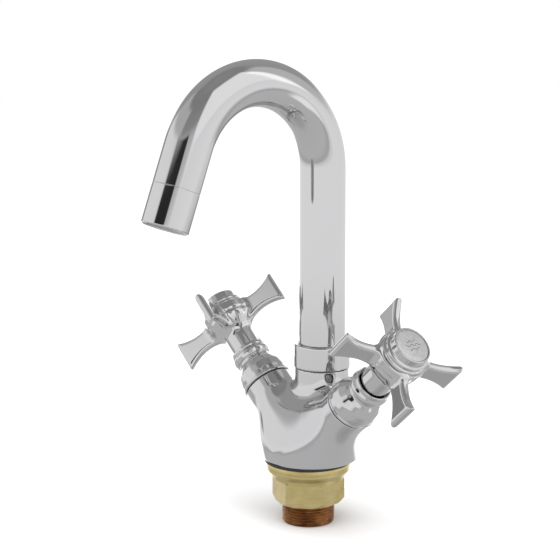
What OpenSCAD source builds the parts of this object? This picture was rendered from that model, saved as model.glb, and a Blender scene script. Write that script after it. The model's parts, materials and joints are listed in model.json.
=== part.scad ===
// Two-handle basin mixer for a single hole, with a swivel U-bend spout.
// Origin: on the axis of the shank, in the plane of the deck. +Z is up, the spout points along -Y,
// the cold side is +X and the hot side is -X. Every round fit is a true cylinder.

/* [Deck and shank] */
// Diameter of the body's foot where it meets the gasket
foot_d = 46.4; // [42:0.2:60]
// Thickness of the gasket under the foot
gasket_t = 1.7; // [0.8:0.1:3]
// Outside diameter of the threaded shank
shank_d = 28; // [24:0.5:34]
// Wall of the hollow shank
shank_wall = 3; // [2:0.1:4]
// Length of the shank below the deck plane
shank_below = 33; // [28:0.5:80]
// Length of the shank screwed into the foot
shank_in_foot = 8.6; // [5:0.2:10]
// How far the clamp washer's flange reaches past the nut's corners, on the radius
washer_lip = 2.9; // [1:0.1:8]
// Overall height of the clamp washer
washer_h = 9; // [8:0.5:14]
// Wall of the fixing nut between the thread and its flats
nut_wall = 2.8; // [2:0.1:6]
// Height of the fixing nut
nut_h = 12.7; // [8:0.1:16]

/* [Body] */
// Tilt of each valve arm above the horizontal, in degrees
arm_tilt = 42; // [36:1:50]
// Height at which the two arm axes meet on the centreline
arm_cross_z = 6.1; // [3:0.1:9]
// Wall of a valve arm round the headwork's thread
arm_wall = 3; // [2:0.1:5]
// Distance along an arm from the crossing point to its end face
arm_end = 44; // [38:0.5:56]
// Distance of the riser's axis behind the shank's axis
boss_back = 10; // [4:0.5:14]
// Wall of the boss round the spout's spigot
boss_wall = 5.05; // [4.4:0.05:8]
// Height of the boss's top face above the deck
boss_top = 49.5; // [44:0.1:70]
// Height of the urn-shaped middle of the body
urn_h = 35.1; // [28:0.1:40]
// How far the urn swells beyond the foot, on the radius
urn_swell = 1.2; // [0:0.1:4]
// Bore of each flexible-hose inlet (the core of an M10 x 1 thread)
inlet_d = 9; // [8:0.1:10]
// Depth of each hose inlet
inlet_depth = 9; // [7:0.5:12]
// Distance of each inlet from the shank's axis
inlet_x = 5.6; // [5.2:0.1:6.5]

/* [Spout] */
// Outside diameter of the spout's tube
tube_d = 25; // [22:0.5:30]
// Wall of the tube
tube_wall = 1.5; // [1:0.1:2]
// Height at which the straight riser ends and the bend begins
riser_top = 154.6; // [110:0.1:220]
// Radius of the bend, to the tube's centreline
bend_r = 45; // [36:1:70]
// Angle that the bend turns through
bend_angle = 159; // [120:1:180]
// Length of the straight outlet leg, with its nozzle
outlet_leg = 41.2; // [30:0.2:80]
// Length of the nozzle sleeve at the outlet
nozzle_len = 20; // [16:0.5:28]
// Wall of the collar round the spout's foot
collar_wall = 2.6; // [1.5:0.1:6]
// Height of the collar
collar_h = 12.4; // [10:0.2:20]
// Outside diameter of the spout's spigot in the boss
spigot_d = 18.9; // [17:0.1:20]
// Depth of the spigot's socket in the boss
socket_depth = 21.5; // [20:0.5:26]
// Swivel of the spout to each side, in degrees
swivel = 60; // [20:5:90]
// Wall of the nozzle round the aerator
nozzle_lip = 1; // [0.8:0.1:2]

/* [Handles] */
// Distance along an arm's axis from its end face to the plane of the cross
handle_out = 44; // [40:0.5:60]
// Diameter across the tips of the cross
cross_span = 67.6; // [50:0.5:80]
// Width of a cross arm at its tip, measured along the handle's axis
tip_w = 19; // [12:0.2:20]
// Width of a cross arm at its waist
waist_w = 10.6; // [8:0.2:12]
// Distance of the waist from the handle's axis
waist_r = 19; // [15:0.5:22]
// Thickness of a cross arm
arm_t = 4.8; // [4:0.1:7]
// Diameter of the handle's barrel
barrel_d = 16.4; // [15:0.2:20]
// How far the handle's head, where the arms meet, reaches past its barrel, on the radius
head_flare = 5.3; // [4:0.1:8]
// How far the round cap's face stands inside the head, on the radius
cap_step = 3.3; // [3:0.1:5]
// Height of the cap above the handle's head
cap_h = 9; // [6:0.5:12]
// Turn of the cold cross about its axis when closed, in degrees
cold_clock = 27; // [0:1:89]
// Turn of the hot cross about its axis when closed, in degrees
hot_clock = 33; // [0:1:89]

/* [Valves] */
// Wall of the headwork from its ceramic discs to the crest of its thread (G 1/2)
shell_wall = 2.3; // [2:0.05:3]
// Depth of the valve's socket in the arm
valve_depth = 22; // [20:0.5:26]
// How far the flats of the headwork's hexagon stand past its thread
hex_land = 0.1; // [0:0.05:1]
// Wall of the headwork's neck round the spindle
neck_wall = 2.2; // [1.5:0.1:3]
// Diameter of the spindle in the neck
spindle_d = 10; // [8:0.1:11]
// Diameter of the spindle's splined end
spline_d = 7.8; // [6:0.1:9]
// Diameter of the ceramic discs
disc_d = 16.2; // [14:0.1:17]
// Thickness of one ceramic disc
disc_t = 3; // [2:0.1:4]
// Length of the bonnet, with its bead
bonnet_h = 23.5; // [20:0.5:30]
// Wall of the bonnet's outer end round the handle's barrel
bead_wall = 2.5; // [2.3:0.1:5]

/* [Fits] */
// Radial clearance of a turning shaft in its bore
run = 0.05; // [0.02:0.01:0.1]
// Gap between faces that pass each other
slip = 0.35; // [0.3:0.05:0.6]

/* [Hidden] */
$fn = 72;

CHROME = [0.82, 0.82, 0.84];
BRASS = [0.79, 0.66, 0.38];
COPPER = [0.52, 0.27, 0.12];
STEEL = [0.6, 0.61, 0.63];
RUBBER = [0.08, 0.08, 0.08];
CERAMIC = [0.93, 0.92, 0.88];
ACETAL = [0.9, 0.9, 0.86];

eps = 0.01;
cut = 1;

// Shank and deck
shank_r = shank_d / 2;
shank_bore_r = shank_r - shank_wall;
foot_r = foot_d / 2;
urn_r = foot_r + urn_swell;
shank_top = gasket_t + shank_in_foot;
nut_top = -washer_h;
nut_clock = -19.5;
nut_af = shank_d + 2 * nut_wall;
nut_r = nut_af / sqrt(3);
washer_r = nut_r + washer_lip;
thread_fit = 0.02;

// Arms
thread_r = disc_d / 2 + shell_wall;
arm_r = thread_r + arm_wall;
arm_start = 14;
valve_r = thread_r + thread_fit;
seat_s = arm_end - valve_depth;
port_r = 3;

// Boss and socket
spigot_r = spigot_d / 2;
boss_r = spigot_r + boss_wall;
socket_r = spigot_r + run;
socket_floor = boss_top - socket_depth;
slip_ring_r = spigot_r + 2.95;
slip_ring_t = 1.3;
slip_ring_sunk = 1;
spout_z0 = boss_top + slip;
spigot_bore_r = spigot_r - 3.05;
flange_t = 2;

// O-rings, clip and stop of the spigot
oring_t = 1.5;
oring_z = [socket_floor + 3.2, socket_floor + 6.6];
clip_t = 1.2;
clip_z = socket_floor + 11;
clip_bite = 1;
stop_z = boss_top - 4;
stop_r = 2;
stop_tip_r = 1.35;
slot_depth = 1.6;

// Spout
tube_r = tube_d / 2;
tube_bore_r = tube_r - tube_wall;
tube_z0 = spout_z0 + flange_t;
collar_r = tube_r + collar_wall;
leg_tube = outlet_leg - nozzle_len;
nozzle_spigot = 6;
aerator_r = tube_r - nozzle_lip;
aerator_depth = 11;
aerator_lip = 0.6;
seal_t = 1.6;

// Distances along an arm's axis, from the crossing point
washer_s = arm_end;
head_washer_t = 1;
hex_s = washer_s + head_washer_t;
hex_t = 4;
hex_corner_r = 2 * (thread_r + hex_land) / sqrt(3);
neck_top = arm_end + 16;
bonnet_s0 = arm_end + 0.4;
bonnet_s1 = arm_end + bonnet_h;
cross_s = arm_end + handle_out;
seal_h = 2.2;
fixed_disc_s = seat_s + seal_h;
moving_disc_s = fixed_disc_s + disc_t + run;
spindle_foot_s = moving_disc_s + disc_t;
spindle_foot_t = 3;
disc_r = disc_d / 2;
cage_r = disc_r + 0.15;
cage_wall = 1.1;
cage_top = spindle_foot_s + spindle_foot_t + run;
shell_bottom = seat_s + 0.9;
thread_s0 = cage_top - 2;
spindle_r = spindle_d / 2;
neck_r = spindle_r + neck_wall;
stem_ring_t = 1.4;
stem_ring_s = arm_end + 10;

// Handle
barrel_r = barrel_d / 2;
bead_r = barrel_r + bead_wall;
head_r = barrel_r + head_flare;
barrel_s0 = bonnet_s1 - 5;
head_s0 = cross_s - 7;
head_s1 = cross_s + 6;
recess_r = barrel_r + 0.7;
spline_top = cross_s - 8;
spline_fit = 0.05;
screw_r = 2;
screw_head_r = 3.6;
screw_head_t = 2.4;
screw_seat_s = cross_s - 5;
cap_plug_r = 6.4;
cap_plug = 4;
cap_r = head_r - cap_step;
cap_base_r = head_r - 1.4;
cap_gap = 0.15;
index_r = cap_r - 1.2;
index_t = 1.4;
index_sunk = 1.1;

// ---- placing ----

// A ring or tube along +Z from z0 to z1
module ring(r_out, r_in, z0, z1) {
    translate([0, 0, z0]) difference() {
        cylinder(r = r_out, h = z1 - z0);
        translate([0, 0, -cut]) cylinder(r = r_in, h = z1 - z0 + 2 * cut);
    }
}

module rod(r, z0, z1) {
    translate([0, 0, z0]) cylinder(r = r, h = z1 - z0);
}

// Children drawn along +Z are laid on the cold arm's axis, starting at the crossing point
module on_cold_arm() {
    translate([0, 0, arm_cross_z]) rotate([0, 90 - arm_tilt, 0]) children();
}

module on_arm(side) {
    if (side == "hot") mirror([1, 0, 0]) on_cold_arm() children();
    else on_cold_arm() children();
}

module on_riser() {
    translate([0, boss_back, 0]) children();
}

// The frame of the spout's outlet leg: +Z runs along the leg from the end of the bend
module on_leg() {
    translate([0, boss_back - bend_r, riser_top])
        rotate([bend_angle, 0, 0])
            translate([0, bend_r, 0]) children();
}

function clock_of(side) = side == "hot" ? hot_clock : cold_clock;

// ---- body and deck fixing ----

module urn_profile() {
    polygon([
        [0, gasket_t], [foot_r, gasket_t], [foot_r + urn_swell * 0.6, gasket_t + 3],
        [urn_r, urn_h * 0.25], [urn_r, urn_h * 0.42], [urn_r - 1.6, urn_h * 0.6],
        [urn_r - 5.5, urn_h * 0.8], [urn_r - 11, urn_h * 0.93], [urn_r - 17, urn_h], [0, urn_h]
    ]);
}

module body() {
    color(CHROME) difference() {
        union() {
            rotate_extrude() urn_profile();
            on_riser() rod(boss_r, arm_start, boss_top);
            for (side = ["hot", "cold"]) on_arm(side) rod(arm_r, arm_start, arm_end);
        }
        rod(shank_r + thread_fit, -cut, shank_top);
        for (x = [-inlet_x, inlet_x])
            translate([x, 0, 0]) rod(inlet_d / 2, shank_top - eps, shank_top + inlet_depth);
        for (side = ["hot", "cold"]) on_arm(side) {
            rod(valve_r, seat_s, arm_end + cut);
            rod(port_r, arm_start - 6, seat_s + cut);
        }
        on_riser() {
            rod(socket_r, socket_floor, boss_top + cut);
            rod(slip_ring_r + run, boss_top - slip_ring_sunk, boss_top + cut);
            ring(socket_r + clip_bite, socket_r - cut, clip_z - run, clip_z + clip_t + run);
            translate([0, 0, stop_z]) rotate([-90, 0, 0]) rod(stop_r + thread_fit, 0, boss_r + cut);
        }
        for (side = ["hot", "cold"]) mix_passage(side);
    }
}

// The drilling that carries water from one valve to the spout's socket
module mix_passage(side) {
    sign = side == "hot" ? -1 : 1;
    start = [sign * cos(arm_tilt) * (cage_top - 3), 0, arm_cross_z + sin(arm_tilt) * (cage_top - 3)];
    finish = [0, boss_back, socket_floor + 1.5];
    way = finish - start;
    flat = sqrt(way[0] * way[0] + way[1] * way[1]);
    translate(start) rotate([0, atan2(flat, way[2]), atan2(way[1], way[0])])
        rod(2.2, 4, norm(way));
}

// The groove marks the thread's working end and is hidden just inside the nut
module shank() {
    mark_z = nut_top - nut_h + 0.1;
    color(COPPER) difference() {
        ring(shank_r, shank_bore_r, -shank_below, shank_top);
        ring(shank_r + cut, shank_r - 0.4, mark_z, mark_z + 0.6);
    }
}

module base_gasket() {
    color(RUBBER) ring(foot_r, shank_r + slip, 0, gasket_t);
}

module clamp_washer() {
    rim = washer_h * 0.49;
    cone = washer_h * 0.85;
    color(BRASS) difference() {
        rotate_extrude() polygon([
            [0, 0], [washer_r, 0], [washer_r, -rim], [nut_r, -cone], [nut_r, -washer_h],
            [0, -washer_h]
        ]);
        rod(shank_r + slip, -washer_h - cut, cut);
    }
}

module fixing_nut() {
    chamfer = 1.4;
    color(BRASS) translate([0, 0, nut_top - nut_h]) difference() {
        intersection() {
            rotate([0, 0, nut_clock]) cylinder(r = nut_r, h = nut_h, $fn = 6);
            rotate_extrude() polygon([
                [0, 0], [nut_r - chamfer, 0], [nut_r, chamfer], [nut_r, nut_h], [0, nut_h]
            ]);
        }
        rod(shank_r + thread_fit, -cut, nut_h + cut);
    }
}

// ---- spout ----

module spout_bearing_ring() {
    color(ACETAL) on_riser() ring(slip_ring_r, socket_r, boss_top - slip_ring_sunk,
        boss_top - slip_ring_sunk + slip_ring_t);
}

// Split ring, half in the boss's groove and half in the spigot's
module spout_clip() {
    gap = 5;
    color(STEEL) on_riser() difference() {
        ring(socket_r + clip_bite - run, spigot_r - clip_bite, clip_z, clip_z + clip_t);
        translate([-gap / 2, -boss_r, clip_z - cut]) cube([gap, boss_r, clip_t + 2 * cut]);
    }
}

module spout_stop_screw() {
    socket_af = 2;
    screw_back = boss_r - 0.6;
    color(STEEL) on_riser() translate([0, 0, stop_z]) rotate([-90, 0, 0]) difference() {
        union() {
            rod(stop_r, socket_r + 0.4, screw_back);
            rod(stop_tip_r, spigot_r - slot_depth + 0.4, socket_r + 0.5);
        }
        translate([0, 0, screw_back - 2]) cylinder(d = socket_af * 2 / sqrt(3), h = 3, $fn = 6);
    }
}

module spout_spigot() {
    foot = socket_floor + 1;
    slot_half = swivel + asin(stop_tip_r / (spigot_r - slot_depth)) + 2;
    color(BRASS) on_riser() difference() {
        union() {
            rod(spigot_r, foot, spout_z0);
            rod(tube_r, spout_z0, tube_z0);
            rod(tube_bore_r - thread_fit, tube_z0 - eps, tube_z0 + 8);
        }
        rod(spigot_bore_r, foot - cut, tube_z0 + 8 + cut);
        for (z = oring_z)
            ring(spigot_r + cut, spigot_r - oring_t, z - oring_t / 2 - 0.1, z + oring_t / 2 + 0.1);
        ring(spigot_r + cut, spigot_r - clip_bite - 0.2, clip_z - slip, clip_z + clip_t + slip);
        rotate([0, 0, 90 - slot_half]) rotate_extrude(angle = 2 * slot_half)
            translate([spigot_r - slot_depth, stop_z - stop_tip_r - 0.3])
                square([slot_depth + cut, 2 * stop_tip_r + 0.6]);
    }
}

module spout_o_rings() {
    color(RUBBER) on_riser() for (z = oring_z)
        translate([0, 0, z]) rotate_extrude()
            translate([spigot_r - oring_t / 2, 0]) circle(d = oring_t);
}

module spout_collar() {
    lip = 0.8;
    color(CHROME) on_riser() difference() {
        rotate_extrude() polygon([
            [0, spout_z0], [collar_r, spout_z0], [collar_r, spout_z0 + collar_h - lip],
            [collar_r - lip, spout_z0 + collar_h], [0, spout_z0 + collar_h]
        ]);
        rod(tube_r, spout_z0 - cut, spout_z0 + collar_h + cut);
    }
}

// Riser, bend and outlet leg, drawn at one radius. The riser is turned a quarter about itself so that
// its seam meets the bend's, and the leg is a hair wider than the bend so that it closes over its end.
module spout_sweep(r, over) {
    hair = 0.02;
    on_riser() rotate([0, 0, 90]) rod(r, tube_z0 - over, riser_top);
    translate([0, boss_back - bend_r, riser_top]) rotate([90, 0, 90])
        rotate_extrude(angle = bend_angle) translate([bend_r, 0]) circle(r = r);
    on_leg() rod(r + hair, -2 * hair, leg_tube + over);
}

module spout_tube() {
    color(CHROME) difference() {
        spout_sweep(tube_r, 0);
        spout_sweep(tube_bore_r, cut);
    }
}

module spout_nozzle() {
    color(CHROME) on_leg() difference() {
        union() {
            rod(tube_r, leg_tube, outlet_leg);
            rod(tube_bore_r - thread_fit, leg_tube - nozzle_spigot, leg_tube + eps);
        }
        rod(aerator_r - 2, leg_tube - nozzle_spigot - cut, outlet_leg + cut);
        rod(aerator_r + thread_fit, outlet_leg - aerator_depth, outlet_leg + cut);
    }
}

module aerator_housing() {
    color(STEEL) on_leg() difference() {
        rod(aerator_r, outlet_leg - aerator_depth + seal_t, outlet_leg - aerator_lip);
        rod(aerator_r - 1.2, outlet_leg - aerator_depth, outlet_leg - 6);
        rod(aerator_r - 2.2, outlet_leg - 7, outlet_leg + cut);
    }
}

// Flow plate with three rings of holes
module aerator_screen() {
    top = outlet_leg - aerator_depth + seal_t + 0.2;
    color(ACETAL) on_leg() difference() {
        rod(aerator_r - 1.3, top, outlet_leg - 6.2);
        for (k = [1:3]) for (i = [0:6 * k - 1])
            rotate([0, 0, i * 60 / k]) translate([k * aerator_r / 4.4, 0, top - cut])
                cylinder(r = 0.7, h = 6);
    }
}

module aerator_seal() {
    color(RUBBER) on_leg() ring(aerator_r - 0.1, aerator_r - 1.9,
        outlet_leg - aerator_depth + 0.05, outlet_leg - aerator_depth + seal_t - 0.05);
}

// ---- valve on one arm: every length runs along the arm's axis from the crossing point ----

module headwork() {
    color(BRASS) difference() {
        union() {
            rod(cage_r + cage_wall, shell_bottom, thread_s0 + eps);
            rod(thread_r, thread_s0, hex_s + eps);
            translate([0, 0, hex_s]) cylinder(r = hex_corner_r, h = hex_t, $fn = 6);
            rod(neck_r, hex_s + hex_t - eps, neck_top);
        }
        rod(cage_r, shell_bottom - cut, cage_top);
        rod(spindle_r + run, cage_top - cut, neck_top + cut);
        translate([-cage_r - cage_wall - cut, -3.5, moving_disc_s])
            cube([2 * (cage_r + cage_wall + cut), 7, disc_t]);
    }
}

module head_washer() {
    color(ACETAL) ring(hex_corner_r - 0.2, thread_r + thread_fit, washer_s, hex_s);
}

module seat_seal() {
    color(RUBBER) ring(cage_r - 0.15, port_r + 1.6, seat_s, fixed_disc_s);
}

// A ceramic disc with two opposite ports
module ceramic_disc(s) {
    color(CERAMIC) difference() {
        rod(disc_r, s, s + disc_t);
        for (a = [0, 180]) rotate([0, 0, a]) intersection() {
            ring(disc_r - 1.6, 1.8, s - cut, s + disc_t + cut);
            translate([1.2, -disc_r, s - cut]) cube([disc_r, 2 * disc_r, disc_t + 2 * cut]);
        }
    }
}

// Star of twenty points, which the handle's socket repeats with a clearance
module spline2d(d) {
    side = d / sqrt(2);
    for (i = [0:4]) rotate(i * 18) square(side, center = true);
}

module spindle() {
    color(BRASS) difference() {
        union() {
            rod(disc_r - 0.2, spindle_foot_s, spindle_foot_s + spindle_foot_t);
            rod(spindle_r, spindle_foot_s + spindle_foot_t - eps, neck_top);
            translate([0, 0, neck_top - eps]) linear_extrude(spline_top - neck_top + eps)
                spline2d(spline_d);
        }
        ring(spindle_r + cut, spindle_r - stem_ring_t, stem_ring_s - stem_ring_t / 2 - 0.1,
            stem_ring_s + stem_ring_t / 2 + 0.1);
        rod(screw_r + thread_fit, spline_top - 10, spline_top + cut);
    }
}

module stem_o_ring() {
    color(RUBBER) translate([0, 0, stem_ring_s]) rotate_extrude()
        translate([spindle_r - stem_ring_t / 2, 0]) circle(d = stem_ring_t);
}

// Domed cover with a bead round the recess that the handle's barrel turns in
module bonnet() {
    wall = 1.1;
    dome_s = arm_end + 15;
    color(CHROME) difference() {
        rotate_extrude() polygon([
            [0, bonnet_s0], [arm_r, bonnet_s0], [arm_r + 0.4, bonnet_s0 + 1.2],
            [arm_r + 0.2, arm_end + 5], [arm_r - 0.7, arm_end + 8.5], [arm_r - 2.2, arm_end + 11.6],
            [arm_r - 4.6, arm_end + 14], [barrel_r + 0.9, dome_s], [barrel_r + 0.9, dome_s + 1],
            [bead_r - 1.2, dome_s + 1.6], [bead_r, dome_s + 3.4], [bead_r, bonnet_s1 - 3.2],
            [bead_r - 0.9, bonnet_s1 - 0.6], [bead_r - 1.6, bonnet_s1], [0, bonnet_s1]
        ]);
        rod(arm_r - wall, bonnet_s0 - cut, hex_s + hex_t + 0.4);
        rod(neck_r + thread_fit, hex_s, neck_top + 0.5);
        rod(spline_d / 2 + 1, neck_top, bonnet_s1 + cut);
        rod(recess_r, barrel_s0 - 0.6, bonnet_s1 + cut);
    }
}

// One arm of the cross: a plate that holds the handle's axis and flares towards its tip
module cross_arm() {
    tip_r = cross_span / 2;
    reach = tip_r - waist_r;
    rise = (tip_w - waist_w) / 2;
    flare_r = (reach * reach + rise * rise) / (2 * rise);
    translate([0, arm_t / 2, cross_s]) rotate([90, 0, 0]) linear_extrude(arm_t) difference() {
        translate([0, -tip_w / 2]) square([tip_r, tip_w]);
        for (s = [-1, 1]) translate([waist_r, s * (waist_w / 2 + flare_r)]) circle(r = flare_r);
    }
}

module handle(side) {
    color(CHROME) difference() {
        union() {
            rotate_extrude() polygon([
                [0, barrel_s0], [barrel_r - 0.6, barrel_s0], [barrel_r, barrel_s0 + 0.6],
                [barrel_r, head_s0 - 4], [barrel_r + 1, head_s0 - 1], [head_r - 2.6, head_s0 + 5],
                [head_r, head_s1 - 4], [head_r, head_s1 - 1.6], [head_r - 0.8, head_s1 - 0.6],
                [head_r - 0.8, head_s1], [0, head_s1]
            ]);
            for (a = [0:90:270]) rotate([0, 0, a - clock_of(side)]) cross_arm();
        }
        translate([0, 0, barrel_s0 - cut]) linear_extrude(spline_top - barrel_s0 + cut + 0.2)
            spline2d(spline_d + 2 * spline_fit);
        rod(screw_r + 0.15, spline_top, head_s1);
        rod(cap_plug_r, screw_seat_s, head_s1 + cut);
        rod(cap_base_r + cap_gap, head_s1, cross_s + tip_w / 2 + cut);
    }
}

module handle_screw() {
    slot = 1;
    color(STEEL) difference() {
        union() {
            rod(screw_r, spline_top - 9, screw_seat_s + eps);
            rod(screw_head_r, screw_seat_s, screw_seat_s + screw_head_t);
        }
        translate([-slot / 2, -screw_head_r - cut, screw_seat_s + screw_head_t - 1.2])
            cube([slot, 2 * (screw_head_r + cut), 2]);
    }
}

// Stepped cap: three turned rings under a raised round face
module cap() {
    color(CHROME) difference() {
        union() {
            rotate_extrude() polygon([
                [0, head_s1], [cap_base_r, head_s1], [cap_base_r, head_s1 + cap_h * 0.18],
                [cap_r + 1.6, head_s1 + cap_h * 0.3], [cap_r + 1.6, head_s1 + cap_h * 0.5],
                [cap_r + 0.5, head_s1 + cap_h * 0.58], [cap_r, head_s1 + cap_h * 0.7],
                [cap_r, head_s1 + cap_h - 0.6], [cap_r - 0.6, head_s1 + cap_h],
                [0, head_s1 + cap_h]
            ]);
            rod(cap_plug_r - 0.03, head_s1 - cap_plug, head_s1 + eps);
        }
        rod(index_r + 0.05, head_s1 + cap_h - index_sunk, head_s1 + cap_h + cut);
    }
}

module index_disc() {
    s = head_s1 + cap_h - index_sunk;
    color(ACETAL) rotate_extrude() polygon([
        [0, s], [index_r, s], [index_r, s + index_t - 0.3], [index_r - 0.4, s + index_t],
        [0, s + index_t]
    ]);
}

// ---- drawing ----

body();
shank();
base_gasket();
clamp_washer();
fixing_nut();
spout_bearing_ring();
spout_clip();
spout_stop_screw();
spout_spigot();
spout_o_rings();
spout_collar();
spout_tube();
spout_nozzle();
aerator_housing();
aerator_screen();
aerator_seal();
on_arm("hot") headwork();  // hot_headwork
on_arm("hot") head_washer();  // hot_head_washer
on_arm("hot") seat_seal();  // hot_seat_seal
on_arm("hot") ceramic_disc(fixed_disc_s);  // hot_fixed_disc
on_arm("hot") ceramic_disc(moving_disc_s);  // hot_moving_disc
on_arm("hot") spindle();  // hot_spindle
on_arm("hot") stem_o_ring();  // hot_stem_o_ring
on_arm("hot") bonnet();  // hot_bonnet
on_arm("hot") handle("hot");  // hot_handle
on_arm("hot") handle_screw();  // hot_handle_screw
on_arm("hot") cap();  // hot_cap
on_arm("hot") index_disc();  // hot_index
on_arm("cold") headwork();  // cold_headwork
on_arm("cold") head_washer();  // cold_head_washer
on_arm("cold") seat_seal();  // cold_seat_seal
on_arm("cold") ceramic_disc(fixed_disc_s);  // cold_fixed_disc
on_arm("cold") ceramic_disc(moving_disc_s);  // cold_moving_disc
on_arm("cold") spindle();  // cold_spindle
on_arm("cold") stem_o_ring();  // cold_stem_o_ring
on_arm("cold") bonnet();  // cold_bonnet
on_arm("cold") handle("cold");  // cold_handle
on_arm("cold") handle_screw();  // cold_handle_screw
on_arm("cold") cap();  // cold_cap
on_arm("cold") index_disc();  // cold_index
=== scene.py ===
"""Looks of a two-handle basin mixer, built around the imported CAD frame.

Every size is in millimetres until a mesh is made, and every piece lies where the frame's joints put it.
"""
import json
import logging
import math
from dataclasses import dataclass, field
from enum import Enum
from typing import Callable, Iterable, Sequence

import bmesh
import bpy
import numpy as np
from mathutils import Matrix, Vector


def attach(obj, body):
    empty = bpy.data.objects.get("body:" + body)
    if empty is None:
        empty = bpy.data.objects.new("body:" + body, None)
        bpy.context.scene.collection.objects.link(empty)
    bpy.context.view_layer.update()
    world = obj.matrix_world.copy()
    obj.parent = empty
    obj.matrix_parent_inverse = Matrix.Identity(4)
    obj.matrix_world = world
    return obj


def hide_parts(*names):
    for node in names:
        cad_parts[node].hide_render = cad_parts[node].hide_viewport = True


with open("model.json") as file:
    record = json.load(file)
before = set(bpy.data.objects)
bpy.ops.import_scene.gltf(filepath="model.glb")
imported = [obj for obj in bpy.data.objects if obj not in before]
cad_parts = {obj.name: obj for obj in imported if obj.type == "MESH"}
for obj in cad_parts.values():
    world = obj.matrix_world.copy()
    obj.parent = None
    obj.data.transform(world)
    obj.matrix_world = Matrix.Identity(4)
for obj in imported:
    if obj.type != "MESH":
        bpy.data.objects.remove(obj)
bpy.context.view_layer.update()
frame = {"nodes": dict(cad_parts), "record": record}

LOG = logging.getLogger("mixer")
MM = 0.001
TURNS = 180
SHARP_EDGE = 32.0
PLACED_PASSES = 5
FINAL_PASSES = 4
TRUE_PLACE = Matrix.Identity(4)

Point2 = tuple[float, float]
Corner = tuple[float, float, float]
Colour = tuple[float, float, float]
Field = Callable[[np.ndarray], np.ndarray]
Piece = bpy.types.Object
Socket = bpy.types.NodeSocket


class Side(Enum):
    """The two valves, named for the water they carry."""

    HOT = "hot"
    COLD = "cold"


# ---- shapes as distance fields ----


def blend_union(a: np.ndarray, b: np.ndarray, width: float) -> np.ndarray:
    """Joins two solids with a fillet.

    Args:
        a: Distances to the first solid.
        b: Distances to the second solid.
        width: How far from the joint the fillet begins.

    Returns:
        Distances to the joined solid.
    """
    share = np.clip(0.5 + 0.5 * (b - a) / width, 0.0, 1.0)
    return b + (a - b) * share - width * share * (1.0 - share)


def blend_cut(a: np.ndarray, b: np.ndarray, width: float) -> np.ndarray:
    """Keeps what lies in both solids, with a rounded edge of the given width."""
    return -blend_union(-a, -b, width)


def smooth_step(low: float, high: float, value: np.ndarray) -> np.ndarray:
    """Rises from 0 to 1 between low and high, level at both ends."""
    share = np.clip((value - low) / (high - low), 0.0, 1.0)
    return share * share * (3.0 - 2.0 * share)


def slopes(shape: Field, points: np.ndarray, reach: float = 0.02) -> np.ndarray:
    """Measures a field's gradient at some points by central differences.

    Args:
        shape: The distance field.
        points: Rows of x, y, z.
        reach: Half the distance between the two samples of a difference.

    Returns:
        One gradient for each point.
    """
    out = np.empty_like(points)
    for axis in range(3):
        step = np.zeros(3)
        step[axis] = reach
        out[:, axis] = (shape(points + step) - shape(points - step)) / (2.0 * reach)
    return out


def settle(shape: Field, points: np.ndarray) -> np.ndarray:
    """Moves points along the field's gradient onto its surface."""
    slope = slopes(shape, points)
    size = np.maximum((slope * slope).sum(1), 0.05)
    move = slope * (shape(points) / size)[:, None]
    length = np.maximum(np.linalg.norm(move, axis=1), 1e-9)
    return points - move * np.minimum(1.0, 0.6 / length)[:, None]


def relax(points: np.ndarray, quads: np.ndarray, slope: np.ndarray) -> np.ndarray:
    """Evens out the spacing of points without moving them off the surface.

    Args:
        points: The points of the skin.
        quads: Rows of four point numbers.
        slope: The field's gradient at each point.

    Returns:
        The moved points.
    """
    total = np.zeros_like(points)
    count = np.zeros(len(points))
    for one, two in ((0, 1), (1, 2), (2, 3), (3, 0)):
        for start, end in ((one, two), (two, one)):
            np.add.at(total, quads[:, start], points[quads[:, end]])
            np.add.at(count, quads[:, start], 1.0)
    move = total / np.maximum(count, 1.0)[:, None] - points
    normal = slope / np.maximum(np.linalg.norm(slope, axis=1), 1e-9)[:, None]
    move -= normal * (move * normal).sum(1)[:, None]
    return points + 0.5 * move


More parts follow.
